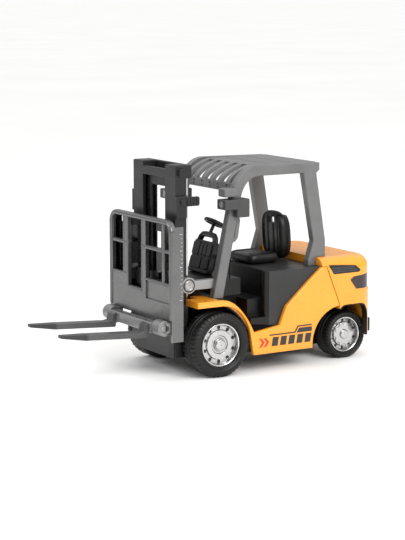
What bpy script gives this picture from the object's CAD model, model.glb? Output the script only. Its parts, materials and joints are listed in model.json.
"""Looks of the toy forklift truck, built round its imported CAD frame.

Metres, +Z up. The forks point along -Y, and left is +X.
"""

import json
import math

import bmesh
import bpy
from mathutils import Matrix, Vector


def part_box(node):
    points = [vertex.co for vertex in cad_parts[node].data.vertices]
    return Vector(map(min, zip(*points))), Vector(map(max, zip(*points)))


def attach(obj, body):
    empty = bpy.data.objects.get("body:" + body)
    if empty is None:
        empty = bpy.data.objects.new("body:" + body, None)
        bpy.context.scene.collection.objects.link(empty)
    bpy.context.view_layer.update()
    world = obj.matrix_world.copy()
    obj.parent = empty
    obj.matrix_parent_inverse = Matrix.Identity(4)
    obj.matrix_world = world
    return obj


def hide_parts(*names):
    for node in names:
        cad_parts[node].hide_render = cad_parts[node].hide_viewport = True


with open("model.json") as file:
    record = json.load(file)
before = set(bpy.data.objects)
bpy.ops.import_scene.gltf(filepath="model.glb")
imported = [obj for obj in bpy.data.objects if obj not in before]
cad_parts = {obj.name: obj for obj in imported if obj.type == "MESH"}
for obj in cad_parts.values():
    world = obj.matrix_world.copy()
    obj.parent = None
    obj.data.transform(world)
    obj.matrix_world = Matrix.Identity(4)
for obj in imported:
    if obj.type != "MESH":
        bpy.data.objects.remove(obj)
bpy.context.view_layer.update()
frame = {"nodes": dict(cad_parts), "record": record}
nodes = frame["nodes"]
MM = 0.001
SIDES = (("left", 1), ("right", -1))


# ---------------------------------------------------------------- materials

BEVEL_SAMPLES = 8
OCCLUSION_SAMPLES = 12
SHARP_DOT, FLAT_DOT = 0.72, 0.985
CLOSED_CORNER, OPEN_FACE = 0.2, 0.8
CORNER_REACH = 2.5 * MM
MASK_FADE = 0.1 * MM
DRIFT_CELLS = 45.0
WEAR_CELLS = 210.0
SMUDGE_CELLS = 130.0
COLOUR_A, COLOUR_B, COLOUR_OUT = 6, 7, 2


def tree_of(name):
    """A new material's node tree and its shader, with the object coordinates that every texture here uses."""
    mat = bpy.data.materials.new(name)
    mat.use_nodes = True
    tree = mat.node_tree
    shader = tree.nodes["Principled BSDF"]
    coords = tree.nodes.new("ShaderNodeTexCoord")
    return mat, tree, shader, coords


def noise(tree, coords, scale, detail=3.0, stretch=(1, 1, 1)):
    """Noise over the object, its scale in cells per metre."""
    place = tree.nodes.new("ShaderNodeMapping")
    place.inputs["Scale"].default_value = stretch
    tree.links.new(coords.outputs["Object"], place.inputs["Vector"])
    texture = tree.nodes.new("ShaderNodeTexNoise")
    texture.inputs["Scale"].default_value = scale
    texture.inputs["Detail"].default_value = detail
    tree.links.new(place.outputs["Vector"], texture.inputs["Vector"])
    return texture.outputs["Fac"]


def spread(tree, value, low, high, start=0.35, end=0.65):
    """Carry a noise value from its usual range to another."""
    scale = tree.nodes.new("ShaderNodeMapRange")
    scale.inputs["From Min"].default_value = start
    scale.inputs["From Max"].default_value = end
    scale.inputs["To Min"].default_value = low
    scale.inputs["To Max"].default_value = high
    tree.links.new(value, scale.inputs["Value"])
    return scale.outputs["Result"]


def mixed(tree, factor, first, second):
    """Mix two colours, each a tuple or another node's output."""
    mix = tree.nodes.new("ShaderNodeMix")
    mix.data_type = "RGBA"
    tree.links.new(factor, mix.inputs["Factor"])
    for socket, colour in ((mix.inputs[COLOUR_A], first), (mix.inputs[COLOUR_B], second)):
        if isinstance(colour, tuple):
            socket.default_value = (*colour, 1)
        else:
            tree.links.new(colour, socket)
    return mix.outputs[COLOUR_OUT]


def times(tree, first, second):
    """The product of two nodes' outputs."""
    product = tree.nodes.new("ShaderNodeMath")
    product.operation = "MULTIPLY"
    tree.links.new(first, product.inputs[0])
    tree.links.new(second, product.inputs[1])
    return product.outputs["Value"]


def worn_edges(tree, edge_radius, patches):
    """How worn each place is: high on outer edges, broken up by a noise."""
    rounded = tree.nodes.new("ShaderNodeBevel")
    rounded.samples = BEVEL_SAMPLES
    rounded.inputs["Radius"].default_value = edge_radius
    geometry = tree.nodes.new("ShaderNodeNewGeometry")
    dot = tree.nodes.new("ShaderNodeVectorMath")
    dot.operation = "DOT_PRODUCT"
    tree.links.new(rounded.outputs["Normal"], dot.inputs[0])
    tree.links.new(geometry.outputs["Normal"], dot.inputs[1])
    edge = spread(tree, dot.outputs["Value"], 1.0, 0.0, SHARP_DOT, FLAT_DOT)
    return rounded.outputs["Normal"], times(tree, edge, spread(tree, patches, 0.35, 0.85, 0.3, 0.7))


def in_corners(tree, reach):
    """How closed in each place is, from open faces at 0 to deep corners at 1."""
    occlusion = tree.nodes.new("ShaderNodeAmbientOcclusion")
    occlusion.samples = OCCLUSION_SAMPLES
    occlusion.inputs["Distance"].default_value = reach
    return spread(tree, occlusion.outputs["AO"], 1.0, 0.0, CLOSED_CORNER, OPEN_FACE)


def along_y(tree, coords, start, end):
    """0 before start and 1 after end along Y, in metres."""
    split = tree.nodes.new("ShaderNodeSeparateXYZ")
    tree.links.new(coords.outputs["Object"], split.inputs["Vector"])
    return spread(tree, split.outputs["Y"], 0.0, 1.0, start, end)


def behind_frame(tree, coords, front_y, half_width):
    """1 behind front_y and within half_width of the middle, 0 elsewhere."""
    split = tree.nodes.new("ShaderNodeSeparateXYZ")
    tree.links.new(coords.outputs["Object"], split.inputs["Vector"])
    size = tree.nodes.new("ShaderNodeMath")
    size.operation = "ABSOLUTE"
    tree.links.new(split.outputs["X"], size.inputs[0])
    within = spread(tree, size.outputs["Value"], 1.0, 0.0, half_width - MASK_FADE, half_width)
    return times(tree, within, along_y(tree, coords, front_y, front_y + MASK_FADE))


def moulded(
    name,
    colour,
    roughness,
    metallic=0.0,
    coat=0.0,
    coat_roughness=0.1,
    edge_colour=None,
    edge_radius=0.35 * MM,
    tint=0.12,
    grain=2600.0,
    grain_depth=0.012 * MM,
    stretch=(1, 1, 1),
    dirt=0.5,
    tip=None,
    inside=None,
    shine=0.5,
):
    """Moulded plastic, painted or plated part: colour drift, uneven gloss, fine grain and soft worn edges.

    tip is (colour, start, end): that colour before start along Y, faded out by end.
    inside is (colour, front_y, half_width): that colour behind front_y, between the two sides.
    """
    mat, tree, shader, coords = tree_of(name)
    darker = tuple(c * (1 - tint) for c in colour)
    lighter = tuple(min(1.0, c * (1 + tint * 0.6)) for c in colour)
    drift = noise(tree, coords, DRIFT_CELLS, 4.0)
    fine = noise(tree, coords, grain, 5.0, stretch)
    normal, wear = worn_edges(tree, edge_radius, noise(tree, coords, WEAR_CELLS, 2.0))
    base = mixed(tree, spread(tree, drift, 0.0, 1.0), darker, lighter)
    if edge_colour is None:
        edge_colour = tuple(min(1.0, c * 1.35 + 0.02) for c in colour)
    base = mixed(tree, wear, base, edge_colour)
    if tip is not None:
        tip_colour, tip_start, tip_end = tip
        base = mixed(tree, along_y(tree, coords, tip_start, tip_end), tip_colour, base)
    if inside is not None:
        inside_colour, front_y, half_width = inside
        base = mixed(tree, behind_frame(tree, coords, front_y, half_width), base, inside_colour)
    base = mixed(tree, in_corners(tree, CORNER_REACH), base, tuple(c * (1 - dirt) for c in colour))
    tree.links.new(base, shader.inputs["Base Color"])
    smudges = noise(tree, coords, SMUDGE_CELLS, 5.0)
    gloss = spread(tree, smudges, roughness * 0.82, min(1.0, roughness * 1.2))
    tree.links.new(gloss, shader.inputs["Roughness"])
    shader.inputs["Metallic"].default_value = metallic
    shader.inputs["Specular IOR Level"].default_value = shine
    shader.inputs["Coat Weight"].default_value = coat
    shader.inputs["Coat Roughness"].default_value = coat_roughness
    bump = tree.nodes.new("ShaderNodeBump")
    bump.inputs["Strength"].default_value = 0.6
    bump.inputs["Distance"].default_value = grain_depth
    tree.links.new(fine, bump.inputs["Height"])
    tree.links.new(normal, bump.inputs["Normal"])
    tree.links.new(bump.outputs["Normal"], shader.inputs["Normal"])
    return mat


def lens(name, colour, roughness):
    """Clear moulded lens: tinted and glossy, with a faint reeded pattern."""
    mat, tree, shader, coords = tree_of(name)
    drift = noise(tree, coords, 300.0, 3.0)
    base = mixed(tree, spread(tree, drift, 0.0, 1.0), colour, tuple(min(1.0, c * 1.2) for c in colour))
    tree.links.new(base, shader.inputs["Base Color"])
    shader.inputs["Transmission Weight"].default_value = 0.35
    shader.inputs["IOR"].default_value = 1.49
    tree.links.new(spread(tree, drift, roughness, roughness * 1.6), shader.inputs["Roughness"])
    wave = tree.nodes.new("ShaderNodeTexWave")
    wave.inputs["Scale"].default_value = 260.0
    wave.inputs["Distortion"].default_value = 0.4
    tree.links.new(coords.outputs["Object"], wave.inputs["Vector"])
    bump = tree.nodes.new("ShaderNodeBump")
    bump.inputs["Strength"].default_value = 0.5
    bump.inputs["Distance"].default_value = 0.08 * MM
    tree.links.new(wave.outputs["Fac"], bump.inputs["Height"])
    tree.links.new(bump.outputs["Normal"], shader.inputs["Normal"])
    return mat


def leather(name, colour, roughness):
    """Soft black seat cover: pebbled grain, dull worn crown."""
    mat, tree, shader, coords = tree_of(name)
    pebbles = tree.nodes.new("ShaderNodeTexVoronoi")
    pebbles.inputs["Scale"].default_value = 1500.0
    pebbles.feature = "SMOOTH_F1"
    tree.links.new(coords.outputs["Object"], pebbles.inputs["Vector"])
    drift = noise(tree, coords, 160.0, 5.0)
    darker, lighter = tuple(0.7 * c for c in colour), tuple(1.5 * c for c in colour)
    base = mixed(tree, spread(tree, drift, 0.0, 1.0), darker, lighter)
    tree.links.new(base, shader.inputs["Base Color"])
    tree.links.new(spread(tree, drift, roughness * 0.85, roughness * 1.2), shader.inputs["Roughness"])
    shader.inputs["Specular IOR Level"].default_value = 0.35
    bump = tree.nodes.new("ShaderNodeBump")
    bump.inputs["Strength"].default_value = 0.7
    bump.inputs["Distance"].default_value = 0.09 * MM
    tree.links.new(pebbles.outputs["Distance"], bump.inputs["Height"])
    tree.links.new(bump.outputs["Normal"], shader.inputs["Normal"])
    return mat


AXLE_CENTRE_Y = sum(v.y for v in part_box("front_axle")) / 2


def y_of(mm):
    """Frame Y of a distance in mm behind the front axle."""
    return AXLE_CENTRE_Y + mm * MM


# Where some finishes change along Y: the forks' dark tips, the cab tub's front and the backrest's frame
FORK_TIP_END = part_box("fork_left")[0].y + 17 * MM
SEAT_BOX_FRONT = y_of(35.5)
cage_low, cage_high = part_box("load_backrest")
CAGE_BACK = cage_low.y + 2.7 * MM
CAGE_INNER = cage_high.x - 0.3 * MM


def grey(level):
    """A neutral colour."""
    return (level, level, level)


FINISHES = {
    "tyre_rubber": moulded(
        "tyre_rubber",
        grey(0.008),
        0.5,
        shine=0.3,
        grain=1500,
        grain_depth=0.05 * MM,
        edge_colour=grey(0.045),
    ),
    "wheel_chrome": moulded(
        "wheel_chrome",
        grey(0.5),
        0.25,
        metallic=0.92,
        grain_depth=0.006 * MM,
        edge_colour=grey(0.9),
        tint=0.06,
        dirt=0.85,
    ),
    "rod_chrome": moulded(
        "rod_chrome", grey(0.7), 0.12, metallic=1.0, grain_depth=0.004 * MM, tint=0.04, stretch=(1, 1, 0.05)
    ),
    "steel": moulded("steel", grey(0.42), 0.35, metallic=1.0, tint=0.1),
    "pin_silver": moulded("pin_silver", grey(0.4), 0.32, metallic=0.7, tint=0.06, dirt=0.9),
    "gear_nylon": moulded("gear_nylon", (0.72, 0.7, 0.64), 0.5, tint=0.06),
    "chassis_black": moulded("chassis_black", grey(0.008), 0.5, shine=0.3, edge_colour=grey(0.03)),
    "body_orange": moulded(
        "body_orange",
        (0.84, 0.31, 0.014),
        0.32,
        coat=0.4,
        coat_roughness=0.12,
        tint=0.05,
        edge_colour=(0.95, 0.5, 0.1),
        edge_radius=0.5 * MM,
        grain_depth=0.003 * MM,
        dirt=0.3,
    ),
    "vent_black": moulded("vent_black", grey(0.01), 0.35, shine=0.4, edge_colour=grey(0.05)),
    "lamp_smoke": lens("lamp_smoke", (0.035, 0.022, 0.022), 0.1),
    "cab_grey": moulded(
        "cab_grey",
        grey(0.026),
        0.42,
        shine=0.35,
        edge_colour=grey(0.09),
        grain=1800,
        grain_depth=0.03 * MM,
    ),
    "cab_tub": moulded(
        "cab_tub",
        grey(0.026),
        0.4,
        shine=0.35,
        edge_colour=grey(0.09),
        grain=1800,
        grain_depth=0.03 * MM,
        tip=(grey(0.002), SEAT_BOX_FRONT, SEAT_BOX_FRONT + 0.6 * MM),
    ),
    "bar_grey": moulded(
        "bar_grey",
        grey(0.2),
        0.3,
        metallic=0.4,
        edge_colour=grey(0.5),
        dirt=0.4,
        grain_depth=0.004 * MM,
    ),
    "arm_grey": moulded("arm_grey", grey(0.3), 0.35, metallic=0.3, edge_colour=grey(0.5), dirt=0.3),
    "cab_black": moulded("cab_black", grey(0.005), 0.28, shine=0.4, edge_colour=grey(0.05)),
    "guard_grey": moulded("guard_grey", grey(0.135), 0.36, metallic=0.2, edge_colour=grey(0.27), dirt=0.35),
    "lamp_grey": moulded("lamp_grey", grey(0.04), 0.4, edge_colour=grey(0.13)),
    "lens_clear": lens("lens_clear", (0.3, 0.31, 0.32), 0.06),
    "mast_grey": moulded("mast_grey", grey(0.014), 0.34, shine=0.3, edge_colour=grey(0.09)),
    "rail_black": moulded("rail_black", grey(0.004), 0.3, shine=0.3, edge_colour=grey(0.04)),
    "cage_grey": moulded(
        "cage_grey",
        grey(0.13),
        0.25,
        metallic=0.65,
        edge_colour=grey(0.5),
        edge_radius=0.4 * MM,
        dirt=0.3,
        tint=0.05,
        grain_depth=0.003 * MM,
        inside=(grey(0.003), CAGE_BACK, CAGE_INNER),
    ),
    "carriage_grey": moulded("carriage_grey", grey(0.012), 0.38, shine=0.4, edge_colour=grey(0.06)),
    "fork_grey": moulded(
        "fork_grey",
        grey(0.075),
        0.38,
        metallic=0.3,
        edge_colour=grey(0.22),
        tip=(grey(0.03), FORK_TIP_END - 1 * MM, FORK_TIP_END + 1 * MM),
    ),
    "seat_black": leather("seat_black", grey(0.005), 0.42),
    "decal_black": moulded("decal_black", grey(0.02), 0.4),
    "decal_red": moulded("decal_red", (0.62, 0.03, 0.02), 0.4),
    "mark_white": moulded("mark_white", grey(0.42), 0.5),
}


def finish_of(node_name):
    """The record's material slot for a CAD node."""
    return next(part["material_slot"] for part in frame["record"]["subparts"] if part["node"] == node_name)


# Nodes that wear another finish than their slot's own
SPECIAL = {
    "cab_tub": "cab_tub",
    "tilt_arms": "arm_grey",
    "fork_crossbar": "bar_grey",
    "hinge_lugs": "bar_grey",
}
for node_name, node in nodes.items():
    node.data.materials.clear()
    node.data.materials.append(FINISHES[SPECIAL.get(node_name, finish_of(node_name))])


# ---------------------------------------------------------------- mesh building


def piece(name, verts, faces, finish, body, smooth_angle=35.0, replaced=()):
    """A new mesh piece that rides on a body and takes the place of any CAD nodes named."""
    mesh = bpy.data.meshes.new(name)
    mesh.from_pydata(verts, [], faces)
    mesh.validate()
    mesh.update()
    mesh.polygons.foreach_set("use_smooth", [True] * len(mesh.polygons))
    mesh.set_sharp_from_angle(angle=math.radians(smooth_angle))
    obj = bpy.data.objects.new(name, mesh)
    bpy.context.scene.collection.objects.link(obj)
    mesh.materials.append(FINISHES[finish])
    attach(obj, body)
    if replaced:
        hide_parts(*replaced)
    return obj


def lathe(profile, centre_y, centre_z, segments, shaped=None):
    """Verts and faces of a closed profile of (x, r) points turned about an X axis.

    shaped(step, x, r), when given, returns the radius that a point takes at each step of the turn.
    """
    verts, faces = [], []
    rows = len(profile)
    for i in range(segments):
        angle = 2 * math.pi * i / segments
        for x, r in profile:
            reach = shaped(i, x, r) if shaped else r
            verts.append((x, centre_y + reach * math.cos(angle), centre_z + reach * math.sin(angle)))
    for i in range(segments):
        nxt = (i + 1) % segments
        for j in range(rows):
            up = (j + 1) % rows
            faces.append((i * rows + j, nxt * rows + j, nxt * rows + up, i * rows + up))
    return verts, faces


def around(count):
    """The angles of so many even steps round a circle."""
    return [2 * math.pi * k / count for k in range(count)]


TREAD_LUGS = 44
STEPS_PER_LUG = 5
LUG_STAGGER = 2
LUG_GROOVE = 0.6 * MM
ROUND_GROOVE = 0.7 * MM
LUG_ZONE = 0.33
SHOULDER = 0.8
BORE_SHARE = {"front": 13.6 / 20.1, "rear": 11.6 / 15.4}
# Sidewalls as (mm in from that side's face, height as a share of the wall),
# and the tread as (share of the width, 1 in a round groove)
OUTER_WALL = (
    (2.1, 0.0),
    (0.7, 0.05),
    (0.35, 0.13),
    (0.75, 0.22),
    (0.2, 0.33),
    (0.0, 0.5),
    (0.25, 0.68),
    (0.7, 0.82),
    (1.3, 0.95),
    (2.2, 1.0),
)
TREAD = (
    (0.24, 0),
    (0.36, 0),
    (0.38, 1),
    (0.43, 1),
    (0.45, 0),
    (0.55, 0),
    (0.57, 1),
    (0.62, 1),
    (0.64, 0),
    (0.76, 0),
)
INNER_WALL = ((2.2, 1.0), (1.3, 0.95), (0.7, 0.82), (0.1, 0.5), (0.6, 0.1), (1.2, 0.0))


def tyre(end, side_name):
    """Rubber tyre with shoulder lugs, round grooves and a rounded bead, in place of the plain CAD tyre."""
    node_name = f"{end}_tyre_{side_name}"
    low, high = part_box(node_name)
    outer_side = 1 if high.x > 0 else -1
    face_x = high.x if outer_side > 0 else low.x
    width = high.x - low.x
    radius = (high.z - low.z) / 2
    centre_y, centre_z = (low.y + high.y) / 2, (low.z + high.z) / 2
    bore = radius * BORE_SHARE[end]
    wall = radius - bore

    def at(depth):
        return face_x - outer_side * depth

    profile = [(at(mm * MM), bore + share * wall) for mm, share in OUTER_WALL]
    profile += [(at(share * width), radius - groove * ROUND_GROOVE) for share, groove in TREAD]
    profile += [(at(width - mm * MM), bore + share * wall) for mm, share in INNER_WALL]
    if outer_side < 0:
        profile.reverse()

    def shaped(step, x, r):
        depth = abs(x - face_x)
        at_lug_edge = (step + (LUG_STAGGER if depth > width / 2 else 0)) % STEPS_PER_LUG == 0
        in_zone = depth < LUG_ZONE * width or depth > (1 - LUG_ZONE) * width
        if at_lug_edge and in_zone and r > bore + SHOULDER * wall:
            return r - LUG_GROOVE
        return r

    verts, faces = lathe(profile, centre_y, centre_z, TREAD_LUGS * STEPS_PER_LUG, shaped)
    return piece(node_name + "_ribbed", verts, faces, "tyre_rubber", f"{end}_wheels", 30, [node_name])


for end in ("front", "rear"):
    for side_name in ("left", "right"):
        tyre(end, side_name)


# ---------------------------------------------------------------- seat

# Shares of a pad's half size, but for the cuts per edge and the powers
PAD_CUTS = 32
ROLL_START, ROLL_FALL, ROLL_POWER = 0.72, 0.34, 2.2
FACE_LEVEL = 0.82
CHANNEL_WIDTH, CHANNEL_DEPTH = 0.05, 0.15
BOLSTER_START, BOLSTER_WIDTH, BOLSTER_RISE, BOLSTER_SHARPNESS = 0.6, 0.12, 0.18, 2.6
HOLLOW_HALF, HOLLOW_EDGE, HOLLOW_RISE, HOLLOW_LEVEL = 0.82, 0.15, 0.2, -0.3


def pad_lattice(hole):
    """Verts and faces of a cube cut into squares.

    hole is None or ((x0, x1), (z0, z1)) in squares: left open right through Y, with its walls built.
    """
    verts, faces, index = [], [], {}

    def vert(p):
        key = tuple(round(c * 1000) for c in p)
        if key not in index:
            index[key] = len(verts)
            verts.append(p)
        return index[key]

    def step(k):
        return -1 + 2 * k / PAD_CUTS

    def in_hole(a, b):
        return hole is not None and hole[0][0] <= a < hole[0][1] and hole[1][0] <= b < hole[1][1]

    for axis in range(3):
        others = [k for k in range(3) if k != axis]
        for sign in (-1.0, 1.0):
            for a in range(PAD_CUTS):
                for b in range(PAD_CUTS):
                    if axis == 1 and in_hole(a, b):
                        continue
                    corners = []
                    for da, db in ((0, 0), (1, 0), (1, 1), (0, 1)):
                        p = [0.0, 0.0, 0.0]
                        p[axis], p[others[0]], p[others[1]] = sign, step(a + da), step(b + db)
                        corners.append(vert(tuple(p)))
                    if (sign > 0) == (axis == 1):
                        corners.reverse()
                    faces.append(corners)
    if hole is not None:
        (a0, a1), (b0, b1) = hole
        ring = [(a, b0) for a in range(a0, a1)] + [(a1, b) for b in range(b0, b1)]
        ring += [(a, b1) for a in range(a1, a0, -1)] + [(a0, b) for b in range(b1, b0, -1)]
        for k, (a, b) in enumerate(ring):
            c, d = ring[(k + 1) % len(ring)]
            front = [vert((step(p), -1.0, step(q))) for p, q in ((a, b), (c, d))]
            back = [vert((step(p), 1.0, step(q))) for p, q in ((a, b), (c, d))]
            faces.append([front[0], front[1], back[1], back[0]])
    return verts, faces


def pad(node_name, centre, size, tilt_deg, thin, corner_power, channels, upright=False, hole=None):
    """Crowned, closed pad with sewn channels and side bolsters, in the space of a CAD soft solid.

    thin is the axis across the pad, channels the places of its seams, and upright sets them up and down.
    """
    cube, faces = pad_lattice(hole)
    wide, deep = [k for k in range(3) if k != thin]
    turn = Matrix.Rotation(math.radians(-tilt_deg), 3, "X")
    verts = []
    for p in cube:
        outline = (abs(p[wide]) ** corner_power + abs(p[deep]) ** corner_power) ** (1 / corner_power)
        reach = max(abs(p[wide]), abs(p[deep]), 1e-9)
        q = list(p)
        q[wide] *= reach / outline if outline else 1
        q[deep] *= reach / outline if outline else 1
        rim = min(1.0, max(abs(p[wide]), abs(p[deep])))
        q[thin] *= 1 - ROLL_FALL * max(0.0, (rim - ROLL_START) / (1 - ROLL_START)) ** ROLL_POWER
        q[wide] *= 1 - 0.05 * p[thin] ** 2
        q[deep] *= 1 - 0.04 * p[thin] ** 2
        q[wide] *= 1 - 0.03 * (1 - q[deep] ** 2)
        if abs(p[thin]) > 0.99:
            run = q[wide] if upright else q[deep]
            channel = max(math.exp(-(((run - c) / CHANNEL_WIDTH) ** 2)) for c in channels)
            side_reach = (abs(q[wide]) - BOLSTER_START) / BOLSTER_WIDTH
            bolster = math.exp(-((side_reach * BOLSTER_SHARPNESS) ** 2))
            raised = BOLSTER_RISE * min(1.0, max(0.0, side_reach))
            fall = channel * CHANNEL_DEPTH if side_reach < 0 else 0.0
            q[thin] *= FACE_LEVEL + raised - max(fall, CHANNEL_DEPTH * bolster)
        if hole is not None and p[thin] > 0:
            # The back is hollow behind the hand slot, so that daylight shows through it
            hollow = min(1.0, max(0.0, (HOLLOW_HALF - abs(p[wide])) / HOLLOW_EDGE))
            hollow *= min(1.0, max(0.0, p[deep] / HOLLOW_RISE))
            q[thin] = q[thin] * (1 - hollow) + HOLLOW_LEVEL * hollow
        if upright:
            q[wide] *= 1 - 0.1 * max(0.0, -q[deep]) ** 2 - 0.06 * max(0.0, q[deep]) ** 2
        local = Vector([q[k] * size[k] / 2 for k in range(3)])
        verts.append(tuple(turn @ local + Vector(centre)))
    obj = piece(node_name + "_pad", verts, faces, "seat_black", "chassis", 70, [node_name])
    return obj


BACK_TILT_DEG = 4.0
BACK_THICK = 9.0 * MM
BACK_TRIM = 0.6 * MM
HAND_SLOT = ((12, 20), (25, 29))
low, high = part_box("seat_cushion")
pad("seat_cushion", (low + high) / 2, high - low, 0, 2, 6.0, (-0.55, -0.1, 0.35))
low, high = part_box("seat_back")
back_size = Vector((high.x - low.x, BACK_THICK, high.z - low.z - BACK_TRIM))
pad("seat_back", (low + high) / 2, back_size, -BACK_TILT_DEG, 1, 3.2, (-0.24, 0.24), True, HAND_SLOT)


# ---------------------------------------------------------------- small fittings


def recalculated(obj):
    """Turn every face of a closed piece outward."""
    work = bmesh.new()
    work.from_mesh(obj.data)
    bmesh.ops.recalc_face_normals(work, faces=work.faces)
    work.to_mesh(obj.data)
    work.free()


def plates(name, outlines, axis, low_at, high_at, finish, body, place=None, bevel=0.15 * MM):
    """Flat parts in one mesh, their edges bevelled.

    Each outline holds (a, b) points in the plane across the axis, and place turns and moves them all.
    """
    others = [k for k in range(3) if k != axis]
    verts, faces = [], []
    for outline in outlines:
        first, count = len(verts), len(outline)
        for level in (low_at, high_at):
            for a, b in outline:
                p = [0.0, 0.0, 0.0]
                p[axis], p[others[0]], p[others[1]] = level, a, b
                verts.append(tuple(place @ Vector(p)) if place else tuple(p))
        faces.append(tuple(range(first, first + count))[::-1])
        faces.append(tuple(range(first + count, first + 2 * count)))
        for k in range(count):
            here, after = first + k, first + (k + 1) % count
            faces.append((here, after, after + count, here + count))
    obj = piece(name, verts, faces, finish, body)
    recalculated(obj)
    if bevel:
        edges = obj.modifiers.new("edges", "BEVEL")
        edges.width = bevel
        edges.segments = 2
        edges.limit_method = "ANGLE"
    return obj


def plate(name, outline, *rest, **options):
    """One flat part."""
    return plates(name, [outline], *rest, **options)


def cad_rear_face(height):
    """The rearmost Y of the counterweight above a height."""
    return max(v.co.y for v in nodes["counterweight"].data.vertices if v.co.z > height)


def rounded(a0, a1, b0, b1, radius, steps=5):
    """A rectangle's outline with rounded corners."""
    points = []
    for ca, cb, start in ((a1, b1, 0), (a0, b1, 90), (a0, b0, 180), (a1, b0, 270)):
        middle_a = ca - (radius if ca == a1 else -radius)
        middle_b = cb - (radius if cb == b1 else -radius)
        for k in range(steps + 1):
            angle = math.radians(start + 90 * k / steps)
            points.append((middle_a + radius * math.cos(angle), middle_b + radius * math.sin(angle)))
    return points


def circle(centre_a, centre_b, radius, count):
    """A round outline."""
    return [(centre_a + radius * math.cos(t), centre_b + radius * math.sin(t)) for t in around(count)]


# Markings on both side panels, in place of the printed words, and slats over the side vents
SKIN = 0.12 * MM
LINE = [
    (34.6, 22.5),
    (54.0, 22.5),
    (56.4, 26.2),
    (66.6, 26.2),
    (66.6, 27.0),
    (55.8, 27.0),
    (53.4, 23.3),
    (34.6, 23.3),
]
FLAG = [(54.9, 22.5), (66.6, 22.5), (66.6, 25.4), (56.9, 25.4)]
BAR = [(0.0, 15.8), (4.4, 15.8), (5.4, 21.4), (1.0, 21.4)]
BAR_STARTS = (36.2, 42.4, 48.6, 54.8, 61.0)
CHEVRON = [(0.0, 15.8), (1.9, 15.8), (4.2, 18.6), (1.9, 21.4), (0.0, 21.4), (2.3, 18.6)]
CHEVRON_STARTS = (26.8, 30.2)


def moved(outline, start):
    """An outline in millimetres, moved back along Y."""
    return [(start + y, z) for y, z in outline]


panel_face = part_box("side_panel_left")[1].x
vent_slats = []
for k in range(3):
    front, back, z = 82.6 - 0.5 * k, 102.0 - 1.6 * k, 58.1 + 1.25 * k
    vent_slats.append([(front, z), (back, z), (back - 0.4, z + 0.55), (front - 0.2, z + 0.55)])
markings = {
    "stripe_bars": ("decal_black", [LINE, FLAG, *(moved(BAR, start) for start in BAR_STARTS)]),
    "stripe_chevrons": ("decal_red", [moved(CHEVRON, start) for start in CHEVRON_STARTS]),
    "vent_slats": ("lamp_grey", vent_slats),
}
for side_name, side in SIDES:
    x0, x1 = sorted((side * (panel_face - 0.05 * MM), side * (panel_face + SKIN)))
    for name, (finish, outlines) in markings.items():
        placed = [[(y_of(y), z * MM) for y, z in outline] for outline in outlines]
        plates(f"{name}_{side_name}", placed, 0, x0, x1, finish, "chassis", bevel=0)

# Measuring ticks down the outer flange of the load backrest
TICKS = 17
LONG_TICK_EVERY = 4
TICK_FOOT, TICK_STEP, TICK_THICK = 50.0 * MM, 2.5 * MM, 0.4 * MM
LONG_TICK, SHORT_TICK = 1.9 * MM, 0.9 * MM
tick_front = cage_high.y - 0.7 * MM
for side_name, side in SIDES:
    x0, x1 = sorted((side * (cage_high.x - 0.05 * MM), side * (cage_high.x + 0.08 * MM)))
    ticks = []
    for k in range(TICKS):
        z = TICK_FOOT + k * TICK_STEP
        tick_back = tick_front - (SHORT_TICK if k % LONG_TICK_EVERY else LONG_TICK)
        top = z + TICK_THICK
        ticks.append([(tick_back, z), (tick_front, z), (tick_front, top), (tick_back, top)])
    plates(f"ticks_{side_name}", ticks, 0, x0, x1, "mark_white", "carriage", bevel=0)


def tubes(name, lines, radius, finish, body):
    """Round bars in one mesh, each along a line of points."""
    curve = bpy.data.curves.new(name + "_line", "CURVE")
    curve.dimensions = "3D"
    curve.bevel_depth = radius
    curve.bevel_resolution = 3
    curve.use_fill_caps = True
    for line in lines:
        spline = curve.splines.new("POLY")
        spline.points.add(len(line) - 1)
        for point, place in zip(spline.points, line):
            point.co = (*place, 1)
    holder = bpy.data.objects.new(name + "_line", curve)
    mesh = bpy.data.meshes.new_from_object(holder)
    mesh.name = name
    bpy.data.objects.remove(holder)
    bpy.data.curves.remove(curve)
    obj = bpy.data.objects.new(name, mesh)
    bpy.context.scene.collection.objects.link(obj)
    mesh.polygons.foreach_set("use_smooth", [True] * len(mesh.polygons))
    mesh.set_sharp_from_angle(angle=math.radians(40))
    mesh.materials.clear()
    mesh.materials.append(FINISHES[finish])
    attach(obj, body)
    return obj


def tube(name, line, *rest):
    """One round bar."""
    return tubes(name, [line], *rest)


def hoop(name, x, centre_y, centre_z, radius, count, thickness, finish, body):
    """A round bar bent into a ring about an X axis."""
    line = [(x, y, z) for y, z in circle(centre_y, centre_z, radius, count)]
    return tube(name, [*line, line[0]], thickness, finish, body)


# Round outer bar of the load backrest, proud of its flat frame
BAR_R = 1.5 * MM
BAR_CORNER = 6.0 * MM
BAR_FOOT = 38 * MM
CORNER_STEPS = 8
bar_y = cage_low.y + 0.5 * MM
bar_x = cage_high.x - BAR_R - 0.1 * MM
bar_top = cage_high.z - BAR_R - 0.1 * MM
arch = [(-bar_x, bar_y, BAR_FOOT)]
for corner_x, start in ((-bar_x + BAR_CORNER, 180), (bar_x - BAR_CORNER, 90)):
    for k in range(CORNER_STEPS + 1):
        angle = math.radians(start - 90 * k / CORNER_STEPS)
        x = corner_x + BAR_CORNER * math.cos(angle)
        arch.append((x, bar_y, bar_top - BAR_CORNER + BAR_CORNER * math.sin(angle)))
arch.append((bar_x, bar_y, BAR_FOOT))
tube("backrest_outer_bar", arch, BAR_R, "cage_grey", "carriage")

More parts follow.
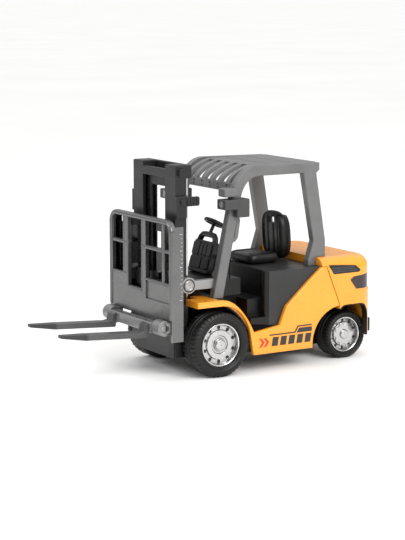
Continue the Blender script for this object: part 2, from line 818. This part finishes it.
# Its rungs as (x, x, z) and uprights as (x, z, z), in millimetres
RUNGS = ((-36.5, -15.4, 79.3), (1.8, 36.5, 79.3), (-36.5, -15.4, 59.6), (-15.4, 1.6, 52.0), (6.2, 36.5, 59.4))
UPRIGHTS = ((-20.9, 59.6, 96.8), (-15.9, 52.0, 96.8), (2.1, 52.0, 96.8), (28.0, 59.4, 96.8))
RUNG_R, UPRIGHT_R = 0.9 * MM, 0.7 * MM
rung_y = cage_low.y + 0.35 * MM
rungs = [[(x * MM, rung_y, z * MM) for x in ends] for *ends, z in RUNGS]
tubes("backrest_rungs", rungs, RUNG_R, "cage_grey", "carriage")
uprights = [[(x * MM, rung_y, z * MM) for z in ends] for x, *ends in UPRIGHTS]
tubes("backrest_uprights", uprights, UPRIGHT_R, "cage_grey", "carriage")

# Dark liners in the rear wheel arches: a squared arch of two skins, with a straight rear leg
ARCH_STEPS = 24
ARCH_START_DEG = 138
ARCH_Y, ARCH_Z, ARCH_FOOT_Z = 99.0, 23.0, 15.4
ARCH_OUTER, ARCH_INNER = (11.5, 13.5), (11.1, 13.1)
ARCH_X = (36.5 * MM, 41.6 * MM)
for side_name, side in SIDES:
    rows = []
    for half_y, half_z in (ARCH_OUTER, ARCH_INNER):
        row = []
        for k in range(ARCH_STEPS + 1):
            angle = math.radians(ARCH_START_DEG * (1 - k / ARCH_STEPS))
            reach = 1 / (abs(math.cos(angle)) ** 4 + abs(math.sin(angle)) ** 4) ** 0.25
            y = y_of(ARCH_Y + half_y * reach * math.cos(angle))
            row.append((y, (ARCH_Z + half_z * reach * math.sin(angle)) * MM))
        rows.append([*row, (row[-1][0], ARCH_FOOT_Z * MM)])
    outer, inner = rows
    count = len(outer)
    x0, x1 = sorted(side * x for x in ARCH_X)
    verts = [(x, y, z) for x in (x0, x1) for y, z in (*outer, *inner)]
    faces = []
    for k in range(count - 1):
        faces.append((k, k + 1, 2 * count + k + 1, 2 * count + k))
        faces.append((count + k, count + k + 1, 3 * count + k + 1, 3 * count + k))
        faces.append((k, k + 1, count + k + 1, count + k))
        faces.append((2 * count + k, 2 * count + k + 1, 3 * count + k + 1, 3 * count + k))
    for k in (0, count - 1):
        faces.append((k, count + k, 3 * count + k, 2 * count + k))
    recalculated(piece(f"rear_arch_liner_{side_name}", verts, faces, "chassis_black", "chassis", 40))

# Instrument stand: a rounded body, an open handle arch above it, and raised panels and ribs on both faces
DASH_TILT_DEG = 16.0
DASH_HALF = 2.3
PANEL_RISE = 0.9
HANDLE = (
    (-9.3, 17.0),
    (-9.0, 21.0),
    (-8.2, 23.2),
    (-6.4, 24.8),
    (-3.0, 25.2),
    (3.0, 25.2),
    (6.4, 24.8),
    (8.2, 23.2),
    (9.0, 21.0),
    (9.3, 17.0),
)
UPPER_PANELS = (
    (-10.6, -3.4, 11.4, 19.4),
    (-2.2, 1.0, 11.4, 18.6),
    (2.0, 5.2, 11.4, 18.6),
    (6.2, 10.4, 11.4, 19.4),
)
LOWER_PANELS = ((-10.6, 2.0, 3.0, 10.2), (3.2, 10.4, 3.0, 10.2))
dash_turn = Matrix.Rotation(math.radians(-DASH_TILT_DEG), 4, "X")
dash = Matrix.Translation((0, y_of(9.6), 58.2 * MM)) @ dash_turn
body_outline = rounded(-11.4 * MM, 11.4 * MM, 0.3 * MM, 21.0 * MM, 1.6 * MM)
dash_half = DASH_HALF * MM
dash_body = plate("dash_body", body_outline, 1, -dash_half, dash_half, "cab_black", "chassis", dash, 0.7 * MM)
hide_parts("dash_console")
handle_line = [dash @ Vector((x * MM, 0, z * MM)) for x, z in HANDLE]
tube("dash_handle", handle_line, 1.9 * MM, "cab_black", "chassis")
for face_name, way in (("front", -1), ("back", 1)):
    y0, y1 = sorted((way * dash_half, way * (DASH_HALF + PANEL_RISE) * MM))
    for tag, finish, panels in (("upper", "cab_grey", UPPER_PANELS), ("lower", "cab_black", LOWER_PANELS)):
        outlines = [rounded(*(edge * MM for edge in panel), 0.9 * MM) for panel in panels]
        plates(f"dash_{face_name}_{tag}", outlines, 1, y0, y1, finish, "chassis", dash, 0.3 * MM)

# Rear grille: a dark panel with louvres across the upper rear face
LOUVRES = (50.9, 52.65, 54.4, 56.15, 57.9)
hood_y = cad_rear_face(50 * MM)
panel = rounded(-19 * MM, 19 * MM, 49.5 * MM, 60.0 * MM, 1.5 * MM)
panel_y = (hood_y - 0.4 * MM, hood_y + 0.25 * MM)
plate("rear_grille_panel", panel, 1, *panel_y, "vent_black", "chassis", bevel=0.1 * MM)
slats = [rounded(-17.4 * MM, 17.4 * MM, z * MM, (z + 0.9) * MM, 0.4 * MM, 3) for z in LOUVRES]
plates("rear_grille_slats", slats, 1, hood_y, hood_y + 0.8 * MM, "lamp_grey", "chassis", bevel=0.2 * MM)

# Four buffer blocks on the rear bumper
BLOCKS = (-26.0, -15.0, 15.0, 26.0)
BLOCK_HALF = 3.0
bumper_low, bumper_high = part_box("rear_bumper")
block_z = (bumper_low.z + 1.2 * MM, bumper_high.z - 1.2 * MM)
blocks = [rounded((x - BLOCK_HALF) * MM, (x + BLOCK_HALF) * MM, *block_z, 0.8 * MM) for x in BLOCKS]
block_y = (bumper_low.y + 0.5 * MM, bumper_high.y)
plates("bumper_blocks", blocks, 1, *block_y, "cab_grey", "chassis", bevel=0.3 * MM)

# Steering wheel with a thick gripped ring, three spokes and a domed boss, tilted as its CAD node is
WHEEL_TILT_DEG = 28.0
GRIP_R = 1.35 * MM
GRIP_DIP, GRIPS = 0.1, 16
RING_R = 5.8 * MM
RING_STEPS, GRIP_STEPS = 96, 16
BOSS_R = 2.3 * MM
BOSS_STEPS = 30
SPOKES_DEG = (20, 160, 270)
SPOKE = ((1.2, -1.1), (5.2, -0.8), (5.2, 0.8), (1.2, 1.1))
wheel_low, wheel_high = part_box("steering_wheel")
wheel_tilt = Matrix.Rotation(math.radians(-WHEEL_TILT_DEG), 4, "X")
wheel = Matrix.Translation((wheel_low + wheel_high) / 2) @ wheel_tilt
verts, faces = [], []
for along in around(RING_STEPS):
    grip = GRIP_R * (1 - GRIP_DIP * max(0.0, math.cos(GRIPS * along)))
    for across in around(GRIP_STEPS):
        reach = RING_R + grip * math.cos(across)
        point = Vector((reach * math.cos(along), reach * math.sin(along), grip * math.sin(across)))
        verts.append(tuple(wheel @ point))
for i in range(RING_STEPS):
    row, next_row = i * GRIP_STEPS, (i + 1) % RING_STEPS * GRIP_STEPS
    for j in range(GRIP_STEPS):
        up = (j + 1) % GRIP_STEPS
        faces.append((row + j, next_row + j, next_row + up, row + up))
piece("steering_ring", verts, faces, "cab_black", "steering", 60, ["steering_wheel"])
spoke = [(a * MM, b * MM) for a, b in SPOKE]
for k, spoke_deg in enumerate(SPOKES_DEG):
    place = wheel @ Matrix.Rotation(math.radians(spoke_deg), 4, "Z")
    plate(f"steering_spoke{k}", spoke, 2, -0.5 * MM, 0.5 * MM, "cab_black", "steering", place, 0.2 * MM)
boss = circle(0, 0, BOSS_R, BOSS_STEPS)
plate("steering_boss", boss, 2, -0.9 * MM, 0.95 * MM, "vent_black", "steering", wheel, 0.5 * MM)

# Bright lip round each rim, and dark linings in its ring of holes
RIM_HOLES = 10
HOLE_STEPS = 16
LIP_STEPS = 72
LINING_DEPTH = (3.2 * MM, 2.52 * MM)
LIP_R = 0.55 * MM
for end, hole_ring, hole_r in (("front", 10.65 * MM, 1.15 * MM), ("rear", 8.95 * MM, 0.95 * MM)):
    rim_low, rim_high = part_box(f"{end}_rims")
    wheel_y, wheel_z = (rim_low.y + rim_high.y) / 2, (rim_low.z + rim_high.z) / 2
    rim_r = (rim_high.z - rim_low.z) / 2
    lip = (wheel_y, wheel_z, rim_r - 0.5 * MM, LIP_STEPS, LIP_R, "rod_chrome", f"{end}_wheels")
    discs = []
    for k in range(RIM_HOLES):
        angle = 2 * math.pi * (k + 0.5) / RIM_HOLES
        hole_y, hole_z = wheel_y + hole_ring * math.cos(angle), wheel_z + hole_ring * math.sin(angle)
        discs.append(circle(hole_y, hole_z, hole_r, HOLE_STEPS))
    for side_name, side in SIDES:
        hoop(f"{end}_rim_lip_{side_name}", side * (rim_high.x - 0.15 * MM), *lip)
        x0, x1 = sorted(side * (rim_high.x - depth) for depth in LINING_DEPTH)
        plates(f"{end}_holes_{side_name}", discs, 0, x0, x1, "vent_black", f"{end}_wheels", bevel=0)

# Dark gap ring round each tilt pin
pin_low, pin_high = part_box("tilt_pins")
pin_y, pin_z = (pin_low.y + pin_high.y) / 2, (pin_low.z + pin_high.z) / 2
arm_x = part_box("tilt_arms")[1].x
gap = (pin_y, pin_z, 3.85 * MM, 48, 0.3 * MM, "vent_black", "chassis")
for side_name, side in SIDES:
    hoop(f"tilt_eye_ring_{side_name}", side * (arm_x - 0.1 * MM), *gap)

# Lobed nut flange on each rear hub
LOBES = 10
LOBE_STEPS = 120
rim_low, rim_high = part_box("rear_rims")
wheel_y, wheel_z = (rim_low.y + rim_high.y) / 2, (rim_low.z + rim_high.z) / 2
lobed = []
for angle in around(LOBE_STEPS):
    reach = (7.0 + 0.75 * math.cos(LOBES * angle)) * MM
    lobed.append((wheel_y + reach * math.cos(angle), wheel_z + reach * math.sin(angle)))
for side_name, side in SIDES:
    x0, x1 = sorted((side * (rim_high.x - 1.3 * MM), side * (rim_high.x - 0.7 * MM)))
    plate(f"rear_nut_flange_{side_name}", lobed, 0, x0, x1, "wheel_chrome", "rear_wheels", bevel=0.15 * MM)


# ---------------------------------------------------------------- floor, light and camera

FLOOR_HALF = 60.0
floor_mesh = bpy.data.meshes.new("floor")
floor_corners = [(x * FLOOR_HALF, y * FLOOR_HALF, 0.0) for x, y in ((-1, -1), (1, -1), (1, 1), (-1, 1))]
floor_mesh.from_pydata(floor_corners, [], [(0, 1, 2, 3)])
floor = bpy.data.objects.new("floor", floor_mesh)
bpy.context.scene.collection.objects.link(floor)
floor_mat, floor_tree, floor_shader, floor_coords = tree_of("floor_pale")
floor_tint = spread(floor_tree, noise(floor_tree, floor_coords, 3.0), 0.0, 1.0)
floor_colour = mixed(floor_tree, floor_tint, (0.9, 0.9, 0.89), (0.93, 0.93, 0.925))
floor_tree.links.new(floor_colour, floor_shader.inputs["Base Color"])
floor_shader.inputs["Roughness"].default_value = 0.6
floor_mesh.materials.append(floor_mat)

# Bright overhead sky that falls off towards the horizon, so that upright faces have dark and light in them
HORIZON_LIGHT = 0.3
ZENITH_LIGHT = 1.3
world = bpy.data.worlds.new("studio")
world.use_nodes = True
sky = world.node_tree
sky_coords = sky.nodes.new("ShaderNodeTexCoord")
sky_split = sky.nodes.new("ShaderNodeSeparateXYZ")
sky.links.new(sky_coords.outputs["Generated"], sky_split.inputs["Vector"])
sky_level = spread(sky, sky_split.outputs["Z"], HORIZON_LIGHT, ZENITH_LIGHT, 0.05, 0.75)
sky.links.new(sky_level, sky.nodes["Background"].inputs["Strength"])
sky.nodes["Background"].inputs["Color"].default_value = (1, 1, 1, 1)
bpy.context.scene.world = world
bpy.context.scene.view_settings.view_transform = "Standard"

LIGHT_AIM = Vector((0, 0, 0.06))


def softbox(name, place, size, power):
    """A square area light that looks at the truck."""
    light = bpy.data.lights.new(name, "AREA")
    light.shape = "SQUARE"
    light.size = size
    light.energy = power
    lamp = bpy.data.objects.new(name, light)
    bpy.context.scene.collection.objects.link(lamp)
    lamp.location = place
    lamp.rotation_euler = (LIGHT_AIM - Vector(place)).to_track_quat("-Z", "Y").to_euler()


softbox("key", (0.75, 0.05, 0.55), 0.5, 6.0)
softbox("front_fill", (-0.25, -0.9, 0.7), 0.5, 4.0)

AZIMUTH_DEG = 58.35
ELEVATION_DEG = 9.17
DISTANCE = 1081.2 * MM
SLIDE_RIGHT = -11.21 * MM
SLIDE_UP = 65.79 * MM
FOCUS_X = 40.164 * MM
FOCAL_MM = 117.43
SENSOR_MM = 36.0
CLIP_START = 0.01
azimuth, elevation = math.radians(AZIMUTH_DEG), math.radians(ELEVATION_DEG)
level_back = Vector((math.sin(azimuth), -math.cos(azimuth), 0))
back = level_back * math.cos(elevation) + Vector((0, 0, math.sin(elevation)))
right = (-back).cross(Vector((0, 0, 1))).normalized()
up = right.cross(-back)
camera_data = bpy.data.cameras.new("camera")
camera_data.lens = FOCAL_MM
camera_data.sensor_width = SENSOR_MM
camera_data.clip_start = CLIP_START
camera = bpy.data.objects.new("camera", camera_data)
bpy.context.scene.collection.objects.link(camera)
place = back * DISTANCE + right * SLIDE_RIGHT + up * SLIDE_UP + Vector((FOCUS_X, AXLE_CENTRE_Y, 0))
camera.matrix_world = Matrix.Translation(place) @ Matrix((right, up, back)).transposed().to_4x4()
bpy.context.scene.camera = camera

bpy.context.view_layer.update()
